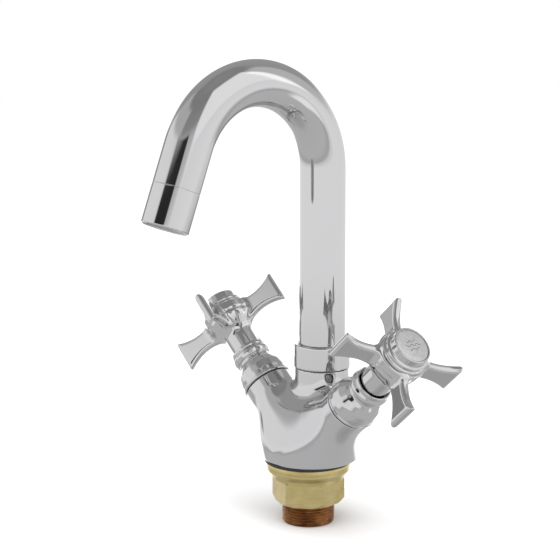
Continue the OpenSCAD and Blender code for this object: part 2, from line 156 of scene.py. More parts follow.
def skin(shape: Field, low: Sequence[float], high: Sequence[float], step: float) -> tuple:
    """Wraps a distance field in a net of quads that lies on its surface.

    Args:
        shape: The distance field, negative inside.
        low: The lowest corner of a box round the solid.
        high: The highest corner of that box.
        step: The spacing of the net.

    Returns:
        The points, the quads and the outward normals.
    """
    axes = [np.arange(low[a], high[a] + step, step) for a in range(3)]
    sizes = [len(a) for a in axes]
    grid = np.stack(np.meshgrid(*axes, indexing="ij"), axis=-1).reshape(-1, 3)
    inside = (shape(grid) < 0.0).reshape(sizes)
    corners = sum(
        inside[i:sizes[0] - 1 + i, j:sizes[1] - 1 + j, k:sizes[2] - 1 + k].astype(np.int8)
        for i in (0, 1) for j in (0, 1) for k in (0, 1)
    )
    active = (corners > 0) & (corners < 8)
    number = np.full(active.shape, -1, dtype=np.int64)
    number[active] = np.arange(int(active.sum()))
    points = (np.argwhere(active) + 0.5) * step + np.array(low)
    quads = []
    for axis in range(3):
        here = np.moveaxis(inside, axis, 0)
        changed = np.argwhere(here[:-1] != here[1:])
        outward = here[:-1][tuple(changed.T)]
        cells = np.moveaxis(number, axis, 0)
        keep = (changed[:, 1] > 0) & (changed[:, 2] > 0)
        keep &= (changed[:, 1] < cells.shape[1]) & (changed[:, 2] < cells.shape[2])
        changed, outward = changed[keep], outward[keep]
        a, b, c = changed.T
        ring = np.stack([cells[a, b - 1, c - 1], cells[a, b, c - 1], cells[a, b, c], cells[a, b - 1, c]], 1)
        # with the other two axes in rising order, only the middle axis gives a left-handed turn
        flip = outward if axis == 1 else ~outward
        ring[flip] = ring[flip][:, ::-1]
        quads.append(ring)
    net = np.concatenate(quads)
    for _ in range(PLACED_PASSES):
        points = settle(shape, points)
        points = relax(points, net, slopes(shape, points))
    for _ in range(FINAL_PASSES):
        points = settle(shape, points)
    slope = slopes(shape, points)
    return points, net, slope / np.maximum(np.linalg.norm(slope, axis=1), 1e-9)[:, None]


# ---- meshes ----


def place_of(origin: Vector, along: Vector, across: Vector) -> Matrix:
    """Makes the matrix of a frame whose Z runs along a part and whose X is near the given direction."""
    z = along.normalized()
    y = z.cross(across).normalized()
    x = y.cross(z)
    turn = Matrix((x, y, z)).transposed().to_4x4()
    return Matrix.Translation(origin) @ turn


def add_object(name: str, mesh: bpy.types.Mesh) -> Piece:
    """Puts a mesh in the scene as an object at the origin."""
    piece = bpy.data.objects.new(name, mesh)
    bpy.context.scene.collection.objects.link(piece)
    return piece


def net_object(name: str, net: tuple, place: Matrix) -> Piece:
    """Makes an object of a skin, shaded by the field's own normals.

    Args:
        name: The piece's name.
        net: Points, quads and normals, in millimetres.
        place: Where the piece lies, in metres.

    Returns:
        The new object.
    """
    points, quads, normals = net
    turn = np.array(place.to_3x3())
    mesh = bpy.data.meshes.new(name)
    moved = points * MM @ turn.T + np.array(place.translation)
    mesh.from_pydata(moved.tolist(), [], quads.tolist())
    mesh.polygons.foreach_set("use_smooth", [True] * len(mesh.polygons))
    mesh.normals_split_custom_set_from_vertices((normals @ turn.T).tolist())
    mesh.update()
    return add_object(name, mesh)


def rounded(corners: Iterable[Corner], closed: bool = False, facets: int = 6) -> list[Point2]:
    """Rounds the corners of an outline.

    Args:
        corners: Radius from the axis, height and corner radius of each point.
        closed: Whether the last point joins the first.
        facets: How many chords make one rounded corner.

    Returns:
        The outline's points.
    """
    given = list(corners)
    out: list[Point2] = []
    count = len(given)
    for i, (r, z, size) in enumerate(given):
        here = Vector((r, z))
        ends = not closed and i in (0, count - 1)
        if ends or size <= 0.0:
            out.append((r, z))
            continue
        before = Vector(given[(i - 1) % count][:2]) - here
        after = Vector(given[(i + 1) % count][:2]) - here
        half = before.angle(after) / 2.0
        if half > math.radians(89.5):
            out.append((r, z))
            continue
        reach = min(size / math.tan(half), 0.49 * before.length, 0.49 * after.length)
        radius = reach * math.tan(half)
        centre = here + (before.normalized() + after.normalized()).normalized() * (radius / math.sin(half))
        start = here + before.normalized() * reach - centre
        end = here + after.normalized() * reach - centre
        turn = start.angle_signed(end)
        for k in range(facets + 1):
            spoke = start.copy()
            spoke.rotate(Matrix.Rotation(-turn * k / facets, 2))
            out.append(tuple(centre + spoke))
    return out


def stepped(outline: Sequence[Point2], closed: bool, most: float = 0.45) -> list[Point2]:
    """Splits the long steps of an outline, so that shading stays even along it."""
    out: list[Point2] = []
    ends = list(outline[1:]) + ([outline[0]] if closed else [])
    for (r, z), (next_r, next_z) in zip(outline, ends):
        count = max(1, math.ceil(math.hypot(next_r - r, next_z - z) / most))
        out += [(r + (next_r - r) * k / count, z + (next_z - z) * k / count) for k in range(count)]
    if not closed:
        out.append(outline[-1])
    return out


def turned(
    name: str, outline: Sequence[Point2], place: Matrix, closed: bool = False, turns: int = TURNS
) -> Piece:
    """Turns an outline round its axis, as on a lathe.

    Args:
        name: The piece's name.
        outline: Radius and height of each point, in millimetres.
        place: The frame whose Z is the axis, in metres.
        closed: Whether the outline is a loop, as a ring's is, or runs from axis to axis.
        turns: The number of steps round the axis.

    Returns:
        The new object.
    """
    work = bmesh.new()
    rings = []
    for r, z in stepped(outline, closed):
        if r < 1e-6:
            rings.append([work.verts.new((0.0, 0.0, z * MM))])
            continue
        angles = [2.0 * math.pi * k / turns for k in range(turns)]
        rings.append([work.verts.new((r * math.cos(a) * MM, r * math.sin(a) * MM, z * MM)) for a in angles])
    pairs = list(zip(rings, rings[1:]))
    if closed:
        pairs.append((rings[-1], rings[0]))
    for low, high in pairs:
        for k in range(turns):
            n = (k + 1) % turns
            corners = [low[k % len(low)], low[n % len(low)], high[n % len(high)], high[k % len(high)]]
            unique = list(dict.fromkeys(corners))
            if len(unique) > 2:
                work.faces.new(unique)
    return finish_mesh(name, work, place)


def turned_ring(
    name: str, corners: Iterable[Corner], place: Matrix = TRUE_PLACE, facets: int = 6
) -> Piece:
    """Turns a closed outline with rounded corners into a ring."""
    return turned(name, rounded(corners, closed=True, facets=facets), place, closed=True)


def finish_mesh(
    name: str, work: bmesh.types.BMesh, place: Matrix, sharp: float = SHARP_EDGE
) -> Piece:
    """Closes a mesh, turns its faces outwards and shades it smooth between its edges.

    Args:
        name: The piece's name.
        work: The mesh as built, in metres.
        place: Where the piece lies.
        sharp: The least angle of an edge that stays sharp, in degrees.

    Returns:
        The new object.
    """
    bmesh.ops.remove_doubles(work, verts=work.verts, dist=1e-7)
    bmesh.ops.recalc_face_normals(work, faces=work.faces)
    mesh = bpy.data.meshes.new(name)
    work.to_mesh(mesh)
    work.free()
    mesh.transform(place)
    mesh.polygons.foreach_set("use_smooth", [True] * len(mesh.polygons))
    mesh.set_sharp_from_angle(angle=math.radians(sharp))
    mesh.update()
    return add_object(name, mesh)


# ---- node trees ----


class NodeGraph:
    """Any node tree, with short ways to add nodes to it."""

    def __init__(self, tree: bpy.types.NodeTree) -> None:
        """Takes over a node tree."""
        self.tree = tree

    def add(self, kind: str, links: dict | None = None, **settings) -> bpy.types.Node:
        """Adds a node.

        Args:
            kind: The node's type name.
            links: For each input, by name or number, an output socket or a value.
            **settings: Properties of the node.

        Returns:
            The new node.
        """
        made = self.tree.nodes.new(kind)
        for key, value in settings.items():
            setattr(made, key, value)
        for key, value in (links or {}).items():
            if isinstance(value, Socket):
                self.tree.links.new(value, made.inputs[key])
            else:
                made.inputs[key].default_value = value
        return made

    def maths(self, operation: str, *terms) -> Socket:
        """Adds a Math node and returns its result."""
        return self.add("ShaderNodeMath", dict(enumerate(terms)), operation=operation).outputs[0]


class NodeTree(NodeGraph):
    """A geometry node tree that is built once, with named inputs."""

    def __init__(self, name: str, inputs: dict[str, str]) -> None:
        """Starts a tree.

        Args:
            name: The tree's name.
            inputs: The kind of socket of each named input.
        """
        super().__init__(bpy.data.node_groups.new(name, "GeometryNodeTree"))
        face = self.tree.interface
        face.new_socket(name="Geometry", in_out="INPUT", socket_type="NodeSocketGeometry")
        self.identifiers = {
            label: face.new_socket(name=label, in_out="INPUT", socket_type=kind).identifier
            for label, kind in inputs.items()
        }
        face.new_socket(name="Geometry", in_out="OUTPUT", socket_type="NodeSocketGeometry")
        self.entry = self.tree.nodes.new("NodeGroupInput")
        self.exit = self.tree.nodes.new("NodeGroupOutput")

    def close(self, geometry: Socket) -> None:
        """Ends the tree in Realize Instances and Set Material."""
        real = self.add("GeometryNodeRealizeInstances", {0: geometry})
        dressed = self.add(
            "GeometryNodeSetMaterial", {0: real.outputs[0], "Material": self.entry.outputs["Material"]}
        )
        self.tree.links.new(dressed.outputs[0], self.exit.inputs[0])

    def apply(self, name: str, start: Piece, values: dict) -> Piece:
        """Runs the tree on an object and keeps the result as a plain mesh.

        Args:
            name: The new piece's name.
            start: The object that the tree reads, which is removed.
            values: The value of each named input.

        Returns:
            The new object.
        """
        modifier = start.modifiers.new(name, "NODES")
        modifier.node_group = self.tree
        for label, value in values.items():
            modifier[self.identifiers[label]] = value
        start.update_tag()
        bpy.context.view_layer.update()
        graph = bpy.context.evaluated_depsgraph_get()
        mesh = bpy.data.meshes.new_from_object(start.evaluated_get(graph), depsgraph=graph)
        bpy.data.objects.remove(start)
        mesh.name = name
        mesh.polygons.foreach_set("use_smooth", [True] * len(mesh.polygons))
        mesh.set_sharp_from_angle(angle=math.radians(SHARP_EDGE))
        return add_object(name, mesh)


def sweep_tree() -> NodeTree:
    """Makes the tree that sweeps a round section along a path, with closed ends."""
    tree = NodeTree(
        "RoundSweep",
        {"Radius": "NodeSocketFloat", "Facets": "NodeSocketInt", "Material": "NodeSocketMaterial"},
    )
    section = tree.add(
        "GeometryNodeCurvePrimitiveCircle",
        {"Resolution": tree.entry.outputs["Facets"], "Radius": tree.entry.outputs["Radius"]},
    )
    swept = tree.add(
        "GeometryNodeCurveToMesh",
        {"Curve": tree.entry.outputs["Geometry"], "Profile Curve": section.outputs[0], "Fill Caps": True},
    )
    tree.close(swept.outputs[0])
    return tree


def thread_tree() -> NodeTree:
    """Makes the tree that cuts a screw thread into the outer wall of a turned rod."""
    tree = NodeTree(
        "ScrewThread",
        {
            "Crest": "NodeSocketFloat", "Pitch": "NodeSocketFloat", "Depth": "NodeSocketFloat",
            "Low": "NodeSocketFloat", "High": "NodeSocketFloat", "Material": "NodeSocketMaterial",
        },
    )
    given = tree.entry.outputs
    position = tree.add("GeometryNodeInputPosition").outputs[0]
    parts = tree.add("ShaderNodeSeparateXYZ", {0: position}).outputs
    turn = tree.maths("DIVIDE", tree.maths("ARCTAN2", parts[1], parts[0]), 2.0 * math.pi)
    rise = tree.maths("DIVIDE", parts[2], given["Pitch"])
    phase = tree.maths("FRACT", tree.maths("ADD", tree.maths("SUBTRACT", rise, turn), 100.0))
    ridge = tree.maths("ABSOLUTE", tree.maths("SUBTRACT", phase, 0.5))
    groove = tree.maths("SUBTRACT", 1.0, tree.maths("MULTIPLY", ridge, 2.0))
    flat = tree.maths("MINIMUM", tree.maths("MULTIPLY", groove, 1.25), 1.0)
    level = tree.add("ShaderNodeCombineXYZ", {0: parts[0], 1: parts[1], 2: 0.0}).outputs[0]
    radius = tree.add("ShaderNodeVectorMath", {0: level}, operation="LENGTH").outputs["Value"]
    outer = tree.maths("GREATER_THAN", radius, tree.maths("MULTIPLY", given["Crest"], 0.99))
    above = tree.maths("GREATER_THAN", parts[2], given["Low"])
    below = tree.maths("LESS_THAN", parts[2], given["High"])
    mask = tree.maths("MULTIPLY", outer, tree.maths("MULTIPLY", above, below))
    depth = tree.maths("MULTIPLY", tree.maths("MULTIPLY", flat, given["Depth"]), mask)
    outward = tree.add("ShaderNodeVectorMath", {0: level}, operation="NORMALIZE").outputs[0]
    offset = tree.add(
        "ShaderNodeVectorMath", {0: outward, "Scale": tree.maths("MULTIPLY", depth, -1.0)}, operation="SCALE"
    ).outputs[0]
    moved = tree.add("GeometryNodeSetPosition", {"Geometry": given["Geometry"], "Offset": offset})
    tree.close(moved.outputs[0])
    return tree


def screen_tree() -> NodeTree:
    """Makes the tree that lays parallel wires across a round frame."""
    tree = NodeTree(
        "ScreenWires",
        {
            "Radius": "NodeSocketFloat", "Wire": "NodeSocketFloat", "Wires": "NodeSocketInt",
            "Material": "NodeSocketMaterial",
        },
    )
    given = tree.entry.outputs
    reach = tree.maths("MULTIPLY", given["Radius"], 0.96)
    start = tree.add("ShaderNodeCombineXYZ", {0: tree.maths("MULTIPLY", reach, -1.0)}).outputs[0]
    end = tree.add("ShaderNodeCombineXYZ", {0: reach}).outputs[0]
    line = tree.add(
        "GeometryNodeMeshLine", {"Count": given["Wires"], "Start Location": start, "Offset": end},
        mode="END_POINTS",
    )
    position = tree.add("GeometryNodeInputPosition").outputs[0]
    across = tree.add("ShaderNodeSeparateXYZ", {0: position}).outputs[0]
    squares = (tree.maths("POWER", length, 2.0) for length in (given["Radius"], across))
    square = tree.maths("SUBTRACT", *squares)
    length = tree.maths("MULTIPLY", tree.maths("SQRT", square), 2.0)
    size = tree.add("ShaderNodeCombineXYZ", {0: given["Wire"], 1: length, 2: given["Wire"]}).outputs[0]
    wire = tree.add("GeometryNodeMeshCube", {"Size": (1.0, 1.0, 1.0)})
    placed = tree.add(
        "GeometryNodeInstanceOnPoints",
        {"Points": line.outputs[0], "Instance": wire.outputs[0], "Scale": size},
    )
    quarter = tree.add(
        "GeometryNodeRotateInstances",
        {"Instances": placed.outputs[0], "Rotation": (0.0, 0.0, math.pi / 2), "Pivot Point": (0.0, 0.0, 0.0),
         "Local Space": False},
    )
    lift = tree.add("ShaderNodeCombineXYZ", {2: given["Wire"]}).outputs[0]
    raised = tree.add(
        "GeometryNodeTranslateInstances",
        {"Instances": quarter.outputs[0], "Translation": lift, "Local Space": False},
    )
    both = tree.add("GeometryNodeJoinGeometry")
    for layer in (placed, raised):
        tree.tree.links.new(layer.outputs[0], both.inputs[0])
    tree.close(both.outputs[0])
    return tree


# ---- finishes ----


class ShaderBuild(NodeGraph):
    """A material's node tree with its Principled shader."""

    def __init__(self, name: str) -> None:
        """Starts a material with a bare Principled shader."""
        self.material = bpy.data.materials.new(name)
        self.material.use_nodes = True
        super().__init__(self.material.node_tree)
        self.shader = self.tree.nodes["Principled BSDF"]
        self.coordinates = self.tree.nodes.new("ShaderNodeTexCoord").outputs["Object"]

    def noise(
        self, scale: float, detail: float = 4.0, stretch: Colour = (1.0, 1.0, 1.0)
    ) -> Socket:
        """Adds a noise pattern on Object coordinates.

        Args:
            scale: Features in each metre.
            detail: How many octaves the pattern has.
            stretch: The pattern's scale along each axis.

        Returns:
            The pattern's value.
        """
        mapped = self.add("ShaderNodeMapping", {"Vector": self.coordinates, "Scale": stretch})
        return self.add(
            "ShaderNodeTexNoise", {"Vector": mapped.outputs[0], "Scale": scale, "Detail": detail}
        ).outputs["Fac"]

    def spread(self, value: Socket, low: float, high: float) -> Socket:
        """Maps the middle of a noise pattern onto a range."""
        given = {"Value": value, "From Min": 0.3, "From Max": 0.7, "To Min": low, "To Max": high}
        return self.add("ShaderNodeMapRange", given).outputs[0]

    def tints(self, value: Socket, one: Colour, two: Colour) -> Socket:
        """Mixes two colours by a pattern."""
        mixed = self.add("ShaderNodeMix", data_type="RGBA")
        self.tree.links.new(value, mixed.inputs["Factor"])
        ends = {"A": one, "B": two}
        for socket in mixed.inputs:
            if socket.type == "RGBA":
                socket.default_value = (*ends[socket.name], 1.0)
        return next(o for o in mixed.outputs if o.type == "RGBA")

    def bump(self, height: Socket, distance: float, strength: float = 1.0) -> None:
        """Raises the surface by a pattern.

        Args:
            height: The pattern.
            distance: How far a full step rises, in metres.
            strength: How strongly the bump shades.
        """
        raised = self.add("ShaderNodeBump", {"Height": height, "Distance": distance, "Strength": strength})
        self.tree.links.new(raised.outputs[0], self.shader.inputs["Normal"])

    def set(self, **values) -> None:
        """Sets the shader's own sockets, with spaces written as underscores."""
        for key, value in values.items():
            socket = self.shader.inputs[key.replace("_", " ")]
            if isinstance(value, Socket):
                self.tree.links.new(value, socket)
            else:
                socket.default_value = value


@dataclass(frozen=True)
class PlatedChrome:
    """Polished chrome plate, with faint haze where hands and water reach it."""

    slot: str = "chrome"
    tint: Colour = (0.635, 0.635, 0.635)
    haze: float = 0.055

    def material(self) -> bpy.types.Material:
        """Builds the finish."""
        build = ShaderBuild("ChromePlate")
        smear = build.noise(60.0, 5.0, (1.0, 1.0, 0.35))
        fine = build.noise(900.0, 3.0, (1.0, 1.0, 4.0))
        mixed = build.maths("MULTIPLY", smear, fine)
        given = {"Value": mixed, "From Min": 0.12, "From Max": 0.42}
        given |= {"To Min": self.haze * 0.6, "To Max": self.haze * 1.7}
        rough = build.add("ShaderNodeMapRange", given).outputs[0]
        cool = tuple(c * f for c, f in zip(self.tint, (0.985, 0.98, 0.99)))
        colour = build.tints(build.spread(smear, 0.0, 1.0), self.tint, cool)
        build.set(Base_Color=colour, Metallic=1.0, Roughness=rough)
        build.bump(build.noise(110.0, 2.0), 0.000004)
        return build.material


@dataclass(frozen=True)
class TurnedBrass:
    """Bare brass with the fine rings that a lathe leaves."""

    slot: str = "brass"
    pale: Colour = (0.66, 0.56, 0.27)
    deep: Colour = (0.56, 0.45, 0.19)
    tool_marks: float = 2600.0

    def material(self) -> bpy.types.Material:
        """Builds the finish."""
        build = ShaderBuild("TurnedBrass")
        rings = build.noise(self.tool_marks, 2.0, (0.02, 0.02, 1.0))
        stain = build.noise(140.0, 5.0)
        build.set(
            Base_Color=build.tints(build.spread(stain, 0.0, 1.0), self.pale, self.deep),
            Metallic=1.0,
            Roughness=build.spread(rings, 0.24, 0.42),
        )
        build.bump(rings, 0.00002)
        return build.material


@dataclass(frozen=True)
class DarkThread:
    """Brass tube darkened to a copper brown, lighter and darker in soft clouds."""

    slot: str = "aged_brass"
    bright: Colour = (0.46, 0.23, 0.09)
    dark: Colour = (0.17, 0.06, 0.02)

    def material(self) -> bpy.types.Material:
        """Builds the finish."""
        build = ShaderBuild("DarkThread")
        cloud = build.noise(180.0, 6.0)
        build.set(
            Base_Color=build.tints(build.spread(cloud, 0.0, 1.0), self.bright, self.dark),
            Metallic=0.9,
            Roughness=build.spread(build.noise(700.0), 0.34, 0.55),
        )
        build.bump(build.noise(1800.0, 3.0), 0.00003)
        return build.material


@dataclass(frozen=True)
class PlainFinish:
    """A finish of one main colour with a grain: rubber, ceramic, acetal, steel or enamel."""

    name: str
    slot: str
    light: Colour
    dark: Colour
    metallic: float
    rough_low: float
    rough_high: float
    grain: float
    height: float

    def material(self) -> bpy.types.Material:
        """Builds the finish."""
        build = ShaderBuild(self.name)
        grain = build.noise(self.grain, 5.0)
        build.set(
            Base_Color=build.tints(build.spread(grain, 0.0, 1.0), self.light, self.dark),
            Metallic=self.metallic,
            Roughness=build.spread(build.noise(self.grain * 0.4, 3.0), self.rough_low, self.rough_high),
        )
        build.bump(grain, self.height)
        return build.material


PLAIN_FINISHES = (
    PlainFinish(
        "Rubber", "rubber", light=(0.012, 0.012, 0.013), dark=(0.03, 0.03, 0.032),
        metallic=0.0, rough_low=0.5, rough_high=0.7, grain=1500.0, height=2e-5,
    ),
    PlainFinish(
        "Ceramic", "ceramic", light=(0.80, 0.79, 0.74), dark=(0.70, 0.69, 0.64),
        metallic=0.0, rough_low=0.15, rough_high=0.25, grain=900.0, height=2e-6,
    ),
    PlainFinish(
        "Acetal", "acetal", light=(0.72, 0.72, 0.68), dark=(0.60, 0.60, 0.57),
        metallic=0.0, rough_low=0.4, rough_high=0.55, grain=700.0, height=8e-6,
    ),
    PlainFinish(
        "Steel", "steel", light=(0.50, 0.51, 0.52), dark=(0.38, 0.39, 0.41),
        metallic=1.0, rough_low=0.22, rough_high=0.36, grain=1200.0, height=8e-6,
    ),
    PlainFinish(
        "IndexDisc", "index_enamel", light=(0.66, 0.66, 0.66), dark=(0.54, 0.54, 0.55),
        metallic=0.8, rough_low=0.22, rough_high=0.34, grain=420.0, height=6e-6,
    ),
)


class Shop:
    """The finishes, made once and handed out by slot."""

    def __init__(self) -> None:
        """Makes every material."""
        self.finishes = {
            finish.slot: finish.material()
            for finish in (
                PlatedChrome(),
                TurnedBrass(),
                DarkThread(),
                *PLAIN_FINISHES,
            )
        }
        self.mark = PlainFinish(
            "IndexMark", "index_enamel", light=(0.16, 0.16, 0.17), dark=(0.24, 0.24, 0.25),
            metallic=0.2, rough_low=0.35, rough_high=0.5, grain=900.0, height=5e-6,
        ).material()

    def dress(self, piece: Piece, slot: str, body: str, *nodes: str) -> Piece:
        """Gives a piece its finish, its body and the CAD nodes that it stands for.

        Args:
            piece: The piece.
            slot: The record's material slot.
            body: The body that it rides on.
            *nodes: The CAD nodes that it replaces.

        Returns:
            The same piece.
        """
        if slot not in self.finishes:
            raise KeyError(slot)
        piece.data.materials.clear()
        piece.data.materials.append(self.finishes[slot])
        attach(piece, body)
        if nodes:
            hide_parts(*nodes)
        LOG.info("%s: %d faces, %s, rides on %s", piece.name, len(piece.data.polygons), slot, body)
        return piece


# ---- sub-assemblies ----


@dataclass
class Casting:
    """The chromed body: a round trunk, two arms and the boss that carries the spout."""

    foot_z: float = 1.7
    foot_r: float = 23.3
    trunk_r: float = 24.4
    trunk_top: float = 29.1
    arm_tilt: float = 42.0
    arm_cross: float = 6.1
    arm_r: float = 13.4
    arm_flare: float = 6.0
    arm_end: float = 44.0
    boss_y: float = 10.0
    boss_r: float = 14.5
    boss_top: float = 49.5
    boss_flare: float = 3.2
    boss_flare_z: float = 43.1
    boss_flare_h: float = 17.0
    urn_bulge_z: float = 15.1
    urn_bulge_h: float = 13.4
    arm_start: float = 6.0
    fillet: float = 9.0
    shoulder: float = 16.0
    boss_fillet: float = 7.0
    rim_round: float = 0.5
    foot_round: float = 0.9
    bore_round: float = 0.4
    slope_round: float = 3.5
    slope_bend: float = 0.004
    slope_y: float = -22.6
    slope_z: float = 14.6
    slope_lean: float = 38.0
    socket_r: float = 14.02
    socket_top: float = 10.3
    inlet_r: float = 4.5
    inlet_x: float = 5.6
    inlet_top: float = 19.3
    screw_z: float = 45.5
    screw_r: float = 2.1
    step: float = 0.55
    box_low: Corner = (-46.0, -27.0, 0.0)
    box_high: Corner = (46.0, 28.0, 51.0)

    def arm(self, points: np.ndarray, side: float) -> np.ndarray:
        """Measures one arm, wide at the trunk and true at its end.

        Args:
            points: Rows of x, y, z.
            side: 1 for the cold arm and -1 for the hot arm.

        Returns:
            The distance from each point.
        """
        tilt = math.radians(self.arm_tilt)
        x, y, z = points[:, 0] * side, points[:, 1], points[:, 2] - self.arm_cross
        along = x * math.cos(tilt) + z * math.sin(tilt)
        rise = z * math.cos(tilt) - x * math.sin(tilt)
        radius = self.arm_r + self.arm_flare * (
            1.0 - smooth_step(self.arm_start, self.arm_end - self.arm_start, along)
        )
        wall = np.hypot(rise, y) - radius
        ended = blend_cut(wall, along - self.arm_end, self.rim_round)
        return blend_cut(ended, self.arm_start - along, 2.0)

    def distance(self, points: np.ndarray) -> np.ndarray:
        """Measures the whole casting.

        Args:
            points: Rows of x, y, z in millimetres.

        Returns:
            The distance from each point, negative inside.
        """
        x, y, z = points.T
        spread = np.hypot(x, y)
        narrowing = np.clip((self.urn_bulge_z - z) / self.urn_bulge_h, 0.0, 1.0) ** 2
        urn = self.trunk_r - (self.trunk_r - self.foot_r) * narrowing
        trunk = blend_cut(spread - urn, z - self.trunk_top, self.shoulder)
        lean = math.radians(self.slope_lean)
        slope = (z - self.slope_z) * math.sin(lean) - (y - self.slope_y) * math.cos(lean)
        trunk = blend_cut(trunk, slope + self.slope_bend * x * x, self.slope_round)
        widening = np.clip((self.boss_flare_z - z) / self.boss_flare_h, 0.0, 1.4) ** 2
        boss_wall = np.hypot(x, y - self.boss_y) - self.boss_r - self.boss_flare * widening
        boss = blend_cut(boss_wall, z - self.boss_top, self.rim_round)
        solid = blend_union(trunk, boss, self.boss_fillet)
        for side in (1.0, -1.0):
            solid = blend_union(solid, self.arm(points, side), self.fillet)
        solid = blend_cut(solid, z - self.boss_top, self.rim_round)
        solid = blend_cut(solid, self.foot_z - z, self.foot_round)
        socket = np.maximum(spread - self.socket_r, z - self.socket_top)
        for way in (-self.inlet_x, self.inlet_x):
            inlet = np.maximum(np.hypot(x - way, y) - self.inlet_r, z - self.inlet_top)
            socket = np.minimum(socket, inlet)
        solid = blend_cut(solid, -socket, self.bore_round)
        screw = np.maximum(np.hypot(x, z - self.screw_z) - self.screw_r, self.boss_y - y)
        return blend_cut(solid, -screw, self.bore_round)

    def build(self, shop: Shop) -> None:
        """Makes the casting and dresses it."""
        net = skin(self.distance, self.box_low, self.box_high, self.step)
        shop.dress(net_object("casting", net, TRUE_PLACE), "chrome", "base", "body")


@dataclass
class DeckFixing:
    """Everything below the foot: the gasket, the washer, the nut and the threaded tube."""

    gasket_r: float = 23.2
    gasket_t: float = 1.7
    shank_r: float = 14.0
    shank_bore: float = 11.0
    shank_low: float = -33.0
    shank_top: float = 10.3
    pitch: float = 1.5
    thread_depth: float = 0.75
    washer_r: float = 22.3
    washer_h: float = 9.0
    nut_af: float = 33.6
    nut_h: float = 12.7
    chamfer: float = 1.9
    nut_turn: float = -19.5

    def gasket(self) -> Piece:
        """Makes the moulded seal, with rounded rims."""
        inner = self.shank_r + 0.35
        loop = [(inner, 0, 0.2), (self.gasket_r, 0, 0.35), (self.gasket_r, self.gasket_t, 0.35),
                (inner, self.gasket_t, 0.2)]
        return turned_ring("deck_gasket", loop)

    def washer(self) -> Piece:
        """Makes the cone washer, with the small steps that its turning left."""
        inner = self.shank_r + 0.35
        outer = self.washer_r
        neck = self.nut_af / math.sqrt(3.0)
        loop = [
            (inner, -0.05, 0.2), (outer - 0.3, -0.05, 0.4), (outer, -1.4, 0.3), (outer, -2.6, 0.1),
            (outer - 0.3, -2.8, 0.1), (outer - 0.3, -4.4, 0.6), (neck + 0.1, -7.2, 0.4),
            (neck + 0.1, -7.9, 0.15), (neck - 0.5, -8.2, 0.1), (neck - 0.5, -self.washer_h, 0.2),
            (inner, -self.washer_h, 0.2),
        ]
        return turned_ring("cone_washer", loop)

    def nut(self) -> Piece:
        """Makes the hexagon nut, chamfered at the free end of its corners."""
        low = -self.washer_h - self.nut_h
        corner = self.nut_af / math.sqrt(3.0)
        bore = self.shank_r + 0.05
        heights = [0.0] + [self.chamfer * k / 8.0 for k in range(1, 9)]
        heights += [self.nut_h - 0.5, self.nut_h - 0.25, self.nut_h]
        steps = 6 * 24
        angles = [2.0 * math.pi * k / steps for k in range(steps)]
        work = bmesh.new()

        def loop(height: float, radius_at: Callable[[float], float]) -> list:
            """Adds a loop of points whose radius follows the angle."""
            points = []
            for angle in angles:
                r = radius_at(angle) * MM
                turn = angle + math.radians(self.nut_turn)
                spot = (r * math.cos(turn), r * math.sin(turn), (low + height) * MM)
                points.append(work.verts.new(spot))
            return points

        rings = []
        for height in heights:
            top = height - (self.nut_h - 0.5)
            cone = corner - 1.05 * max(self.chamfer - height, 0.0) - 0.8 * max(top, 0.0)

            def flats(angle: float, cone: float = cone) -> float:
                """Returns the radius of the flats, held inside the chamfer's cone."""
                across = math.radians((math.degrees(angle) % 60.0) - 30.0)
                return min(self.nut_af / 2.0 / math.cos(across), cone)

            rings.append(loop(height, flats))
        rings += [loop(height, lambda angle: bore) for height in (self.nut_h, 0.0)]
        for one, two in zip(rings, rings[1:] + rings[:1]):
            for k in range(steps):
                n = (k + 1) % steps
                work.faces.new((one[k], one[n], two[n], two[k]))
        return finish_mesh("fixing_hex_nut", work, TRUE_PLACE, sharp=18.0)

    def shank(self, threads: NodeTree, shop: Shop) -> Piece:
        """Makes the hollow tube and cuts its thread."""
        crest = self.shank_r
        end = self.shank_low
        top = -self.washer_h - self.nut_h + 1.5
        count = int((top - end) / 0.125)
        wall = [(crest, end + 0.6 + (top - end - 0.6) * k / count) for k in range(count + 1)]
        loop = [(self.shank_bore, end), (self.shank_bore + 0.5, end), (crest - 0.9, end), *wall,
                (crest, self.shank_top), (self.shank_bore, self.shank_top)]
        start = turned("shank_blank", loop, TRUE_PLACE, closed=True)
        return threads.apply(
            "threaded_shank", start,
            {
                "Crest": crest * MM, "Pitch": self.pitch * MM, "Depth": self.thread_depth * MM,
                "Low": (end + 0.3) * MM, "High": top * MM, "Material": shop.finishes["aged_brass"],
            },
        )

    def build(self, shop: Shop, threads: NodeTree) -> None:
        """Makes and dresses every piece below the foot."""
        shop.dress(self.gasket(), "rubber", "base", "base_gasket")
        shop.dress(self.washer(), "brass", "base", "clamp_washer")
        shop.dress(self.nut(), "brass", "base", "fixing_nut")
        shop.dress(self.shank(threads, shop), "aged_brass", "base", "shank")


